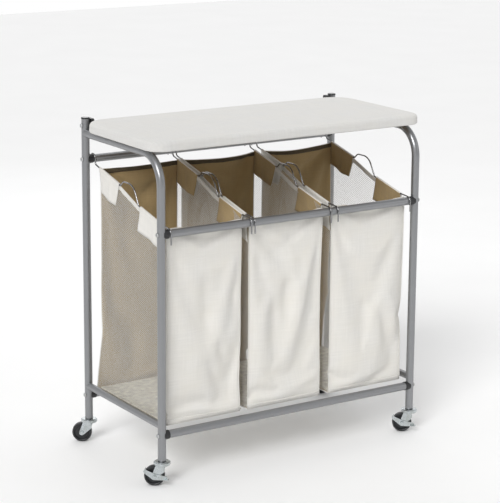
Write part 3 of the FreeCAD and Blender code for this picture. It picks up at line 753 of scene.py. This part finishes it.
def build_bag(bag, seed):
    centre, number, settled = bag_shell(bag, seed)
    body = f"{bag}_bag"
    patches = {
        "front": Patch(panel_points(settled, number, lambda r, c: (r, 0, c), NX, NZ)),
        "rear": Patch(panel_points(settled, number, lambda r, c: (r, NY, c), NX, NZ), -1),
        "bottom": Patch(panel_points(settled, number, lambda r, c: (r, c, 0), NX, NY), -1),
        "left": Patch(panel_points(settled, number, lambda r, c: (0, r, c), NY, NZ), -1),
        "right": Patch(panel_points(settled, number, lambda r, c: (NX, r, c), NY, NZ)),
    }
    strip = canvas_strip(bag, patches)
    extras = []
    # The rear's inside hem takes the near-black tape, which is painted shade along the rear panel's top edge;
    # the front's inside hem is the tan inner canvas.
    for end, height, inside in (("front", FRONT_DROP, "tan"), ("rear", REAR_DROP, "painted_shade_tape")):
        patch = patches[end]
        name = f"{bag}_bag_{end}"
        hem, foot = TOP_HEM / height, LOW_HEM / height
        wide, within = (0.004, 0.996), (0.01, 0.99)
        for part, u, v, lift, thickness, material in (
            ("top_hem", wide, (1 - hem, 1.0), HEM_LIFT, HEM_T, "canvas"),
            ("inside_hem", within, (1 - hem * 0.75, 0.999), -CLOTH_T - HEM_LIFT, 0.001, inside),
            ("low_hem", wide, (0.002, foot), HEM_LIFT, HEM_T, "canvas"),
        ):
            extras.append(band(f"{name}_{part}", patch, u, v, lift, thickness, material))
        on_top, on_low = 1 - hem * 0.86, foot * 0.86
        for row, start, finish, lift in (
            ("top", (0.02, on_top), (0.98, on_top), 0.0013),
            ("low", (0.02, on_low), (0.98, on_low), 0.0013),
            ("left", (0.022, foot), (0.022, 1 - hem), 0.0004),
            ("right", (0.978, foot), (0.978, 1 - hem), 0.0004),
        ):
            extras.append(stitches(f"{name}_{row}_stitches", patch.line(start, finish, 0.006, lift)))
        for column, u in (("left", 0.0), ("right", 1.0)):
            path = [point for point, _ in patch.line((u, 0.004), (u, 0.998), PIPING_STEP)]
            extras.append(tube(f"{name}_{column}_piping", path, PIPING_R, "tape"))
        path = [point for point, _ in patch.line((0.0, 0.0), (1.0, 0.0), PIPING_STEP)]
        extras.append(tube(f"{name}_foot_piping", path, FOOT_PIPING_R, "tape"))
    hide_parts(f"{bag}_bag_canvas")
    for edge in EDGES:
        patch = patches[edge]
        net = patch_piece(f"{bag}_bag_{edge}_net_cloth", patch, ["net"], (0.34, 0.53))
        net.modifiers.new("Subdivision", "SUBSURF").levels = 1
        net.modifiers["Subdivision"].render_levels = 1
        keep_modified(net)
        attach(net, body)
        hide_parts(f"{bag}_bag_{edge}_net")
        extras += side_trims(bag, edge, patch)
        foot = [point for point, _ in patch.line((0.0, 0.0), (1.0, 0.0), PIPING_STEP)]
        extras.append(tube(f"{bag}_bag_{edge}_foot_piping", foot, FOOT_PIPING_R, "tape"))
    for piece in [strip, *extras]:
        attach(piece, body)


# ---------------------------------------------------------------- ironing board cover
def rounded_outline(low, high, front_r, rear_r, inset):
    """Points and outward directions round the board's outline, moved in by inset; always as many."""
    corner_steps, long_steps, short_steps = 14, 44, 20
    radii = {(-1, -1): front_r, (1, -1): front_r, (1, 1): rear_r, (-1, 1): rear_r}
    x0, x1, y0, y1 = low.x, high.x, low.y, high.y
    found = []
    order = ((1, -1), (1, 1), (-1, 1), (-1, -1))
    for n, (sx, sy) in enumerate(order):
        full = radii[(sx, sy)]
        r = max(full - inset, 0.0)
        shift = max(full, inset)
        cx = x1 - shift if sx > 0 else x0 + shift
        cy = y1 - shift if sy > 0 else y0 + shift
        start = math.radians(-90 + 90 * n)
        for s in range(corner_steps):
            angle = start + math.radians(90) * s / corner_steps
            out = Vector((math.cos(angle), math.sin(angle), 0))
            found.append((Vector((cx, cy, 0)) + out * r, out))
        end = start + math.radians(90)
        out = Vector((math.cos(end), math.sin(end), 0))
        here = Vector((cx, cy, 0)) + out * r
        tx, ty = order[(n + 1) % 4]
        next_full = radii[(tx, ty)]
        next_shift, next_r = max(next_full, inset), max(next_full - inset, 0.0)
        nx = x1 - next_shift if tx > 0 else x0 + next_shift
        ny = y1 - next_shift if ty > 0 else y0 + next_shift
        there = Vector((nx, ny, 0)) + out * next_r
        steps = short_steps if n % 2 == 0 else long_steps
        for s in range(steps):
            found.append((here.lerp(there, s / steps), out))
    return found


def board_cover():
    """Padded cotton cover: crowned top, soft rolled edge, gathered hem under the board."""
    low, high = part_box("board_cover")
    front_r, rear_r, edge_r = 0.042, 0.063, 0.0085
    thickness = high.z - low.z
    # (inset, height over the board's underside), from the hem's inner edge outward and up.
    profile = [(0.0265, -0.0006), (0.020, -0.0005), (0.010, -0.0004), (0.0025, 0.0), (0.0004, 0.0014)]
    profile += [(0.0, 0.004), (0.0, 0.008), (0.0, 0.012), (0.0, thickness - edge_r)]
    for step in range(1, 7):
        angle = math.radians(90) * step / 6
        profile.append((edge_r * (1 - math.cos(angle)), thickness - edge_r * (1 - math.sin(angle))))
    for inset in (0.012, 0.017, 0.024, 0.034):
        profile.append((inset, thickness))
    rings = [(*row, rounded_outline(low, high, front_r, rear_r, row[0])) for row in profile]
    outline, middle = rings[-1][2], (low + high) / 2
    for scale in (0.92, 0.84, 0.75, 0.65, 0.55, 0.45, 0.35, 0.25, 0.15, 0.06):
        deep = 0.034 + (1 - scale) * (high.y - low.y) / 2
        shrunk = []
        for spot, out in outline:
            x, y = mix(middle.x, spot.x, scale), mix(middle.y, spot.y, scale)
            shrunk.append((Vector((x, y, 0)), out))
        rings.append((deep, thickness, shrunk))
    points, cloth = [], []
    columns = len(rings[0][2])
    for inset, height, ring in rings:
        for n, (spot, out) in enumerate(ring):
            upper = smooth((height - 0.004) / (thickness - 0.006))
            on_top = smooth((inset - edge_r) / 0.03) if height >= thickness - 1e-6 else 0.0
            gather = math.sin(n * 1.9 + 3 * noise.noise(Vector((n * 0.21, 0, 0))))
            pull = noise.noise(spot * 55 + Vector((0, 0, height * 30)))
            side_wave = (0.0004 * (1 + gather) + 0.0006 * (1 + pull)) * (1 - upper * 0.75)
            side_wave *= 0 if inset > 0.02 else 1
            sag = 0.0009 * noise.noise(spot * 9) + 0.0005 * noise.noise(spot * 26)
            crown = 0.0012 * smooth(inset / 0.09)
            lift = (crown + sag) * on_top
            point = spot + out * side_wave
            point.z = low.z + height + lift
            points.append(point)
            unrolled = spot + out * max(thickness - height, 0.0)
            cloth.append((unrolled.x, unrolled.y))
    faces = grid_faces(len(rings), columns, True)
    faces.append(tuple(range((len(rings) - 1) * columns, len(rings) * columns)))
    cover = mesh_object("ironing_cover", points, faces, ["cover"], cloth)
    cover.modifiers.new("Subdivision", "SUBSURF").levels = 1
    cover.modifiers["Subdivision"].render_levels = 1
    keep_modified(cover)
    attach(cover, "board")
    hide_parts("board_cover")
    ring = rounded_outline(low, high, front_r, rear_r, 0.0262)
    hem = [Vector((spot.x, spot.y, low.z + 0.0003)) for spot, _ in ring]
    cord = tube("ironing_cover_hem", hem + hem[:1], 0.0016, "tape")
    down = Vector((0, 0, -1))
    ring = rounded_outline(low, high, front_r, rear_r, 0.021)
    stitched = [(Vector((spot.x, spot.y, low.z - 0.0002)), down) for spot, _ in ring]
    seam = stitches("ironing_cover_stitches", stitched + stitched[:1])
    for piece in (cord, seam):
        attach(piece, "board")


# ---------------------------------------------------------------- light, floor, camera
def stage():
    reach = 9
    corners = [(-reach, -reach, 0), (reach, -reach, 0), (reach, reach, 0), (-reach, reach, 0)]
    flat = [(x + reach, y + reach) for x, y, _ in corners]
    floor = mesh_object("floor", corners, [(0, 1, 2, 3)], [], flat)
    shader = Shader("pale_floor", (0.93, 0.93, 0.93), 0.8)
    tone = shader.span(shader.noise(shader.place(), 3, 3), 0.0, 1.0)
    shader.link(shader.blend_color(tone, (0.93, 0.93, 0.93), (0.915, 0.915, 0.915)), "Base Color")
    floor.data.materials.append(shader.made)
    world = bpy.data.worlds.new("studio")
    world.use_nodes = True
    tree = world.node_tree
    place = tree.nodes.new("ShaderNodeTexCoord")
    behind = tree.nodes.new("ShaderNodeVectorMath")  # brightest on the cart's far side
    behind.operation = "DOT_PRODUCT"
    behind.inputs[1].default_value = (0.545, 0.839, 0.0)
    bright = tree.nodes.new("ShaderNodeMapRange")
    for key, value in (("From Min", 0.3), ("From Max", 0.85), ("To Min", 0.55), ("To Max", 1.0)):
        bright.inputs[key].default_value = value
    tree.links.new(place.outputs["Generated"], behind.inputs[0])
    tree.links.new(behind.outputs["Value"], bright.inputs["Value"])
    tree.links.new(bright.outputs["Result"], tree.nodes["Background"].inputs["Strength"])
    tree.nodes["Background"].inputs["Color"].default_value = (1.0, 1.0, 1.0, 1)
    bpy.context.scene.world = world
    bpy.context.scene.view_settings.view_transform = "Standard"
    sun = bpy.data.lights.new("soft_sun", "SUN")
    sun.energy, sun.angle = 1.9, math.radians(26)
    shining = bpy.data.objects.new("soft_sun", sun)
    shining.rotation_euler = Vector((0.647, 0.473, -0.597)).to_track_quat("-Z", "Y").to_euler()
    bpy.context.scene.collection.objects.link(shining)
    for name, spot, size, power in (
        ("fill", (2.6, -2.2, 1.8), 1.2, 5),
        ("overhead", (0.3, 0.4, 3.0), 2.0, 7),
        ("back", (0.8, 3.0, 1.9), 1.4, 6),
    ):
        data = bpy.data.lights.new(name, "AREA")
        data.shape, data.size, data.energy = "SQUARE", size, power
        lamp = bpy.data.objects.new(name, data)
        lamp.location = Vector(spot) + MID
        lamp.rotation_euler = (Vector((0, 0, 0.45)) + MID - lamp.location).to_track_quat("-Z", "Y").to_euler()
        bpy.context.scene.collection.objects.link(lamp)


def camera():
    yaw, pitch, roll = (math.radians(a) for a in (32.97, 12.52, 0.39))
    ahead = Vector((math.sin(yaw) * math.cos(pitch), math.cos(yaw) * math.cos(pitch), -math.sin(pitch)))
    right = Vector((math.cos(yaw), -math.sin(yaw), 0))
    up = right.cross(ahead)
    right, up = right * math.cos(roll) + up * math.sin(roll), up * math.cos(roll) - right * math.sin(roll)
    data = bpy.data.cameras.new("camera")
    data.sensor_width = 36
    data.lens = 132.3
    data.shift_y = -0.0795
    made = bpy.data.objects.new("camera", data)
    turned = Matrix((right, up, -ahead)).transposed().to_4x4()
    eye = MID + Vector((-2.465, -3.791, 1.595))
    made.matrix_world = Matrix.Translation(eye) @ turned
    bpy.context.scene.collection.objects.link(made)
    bpy.context.scene.camera = made


finish_cad_nodes()
stage()
camera()
for seed, bag in enumerate(BAGS):
    build_bag(bag, 11 + 7 * seed)
board_cover()
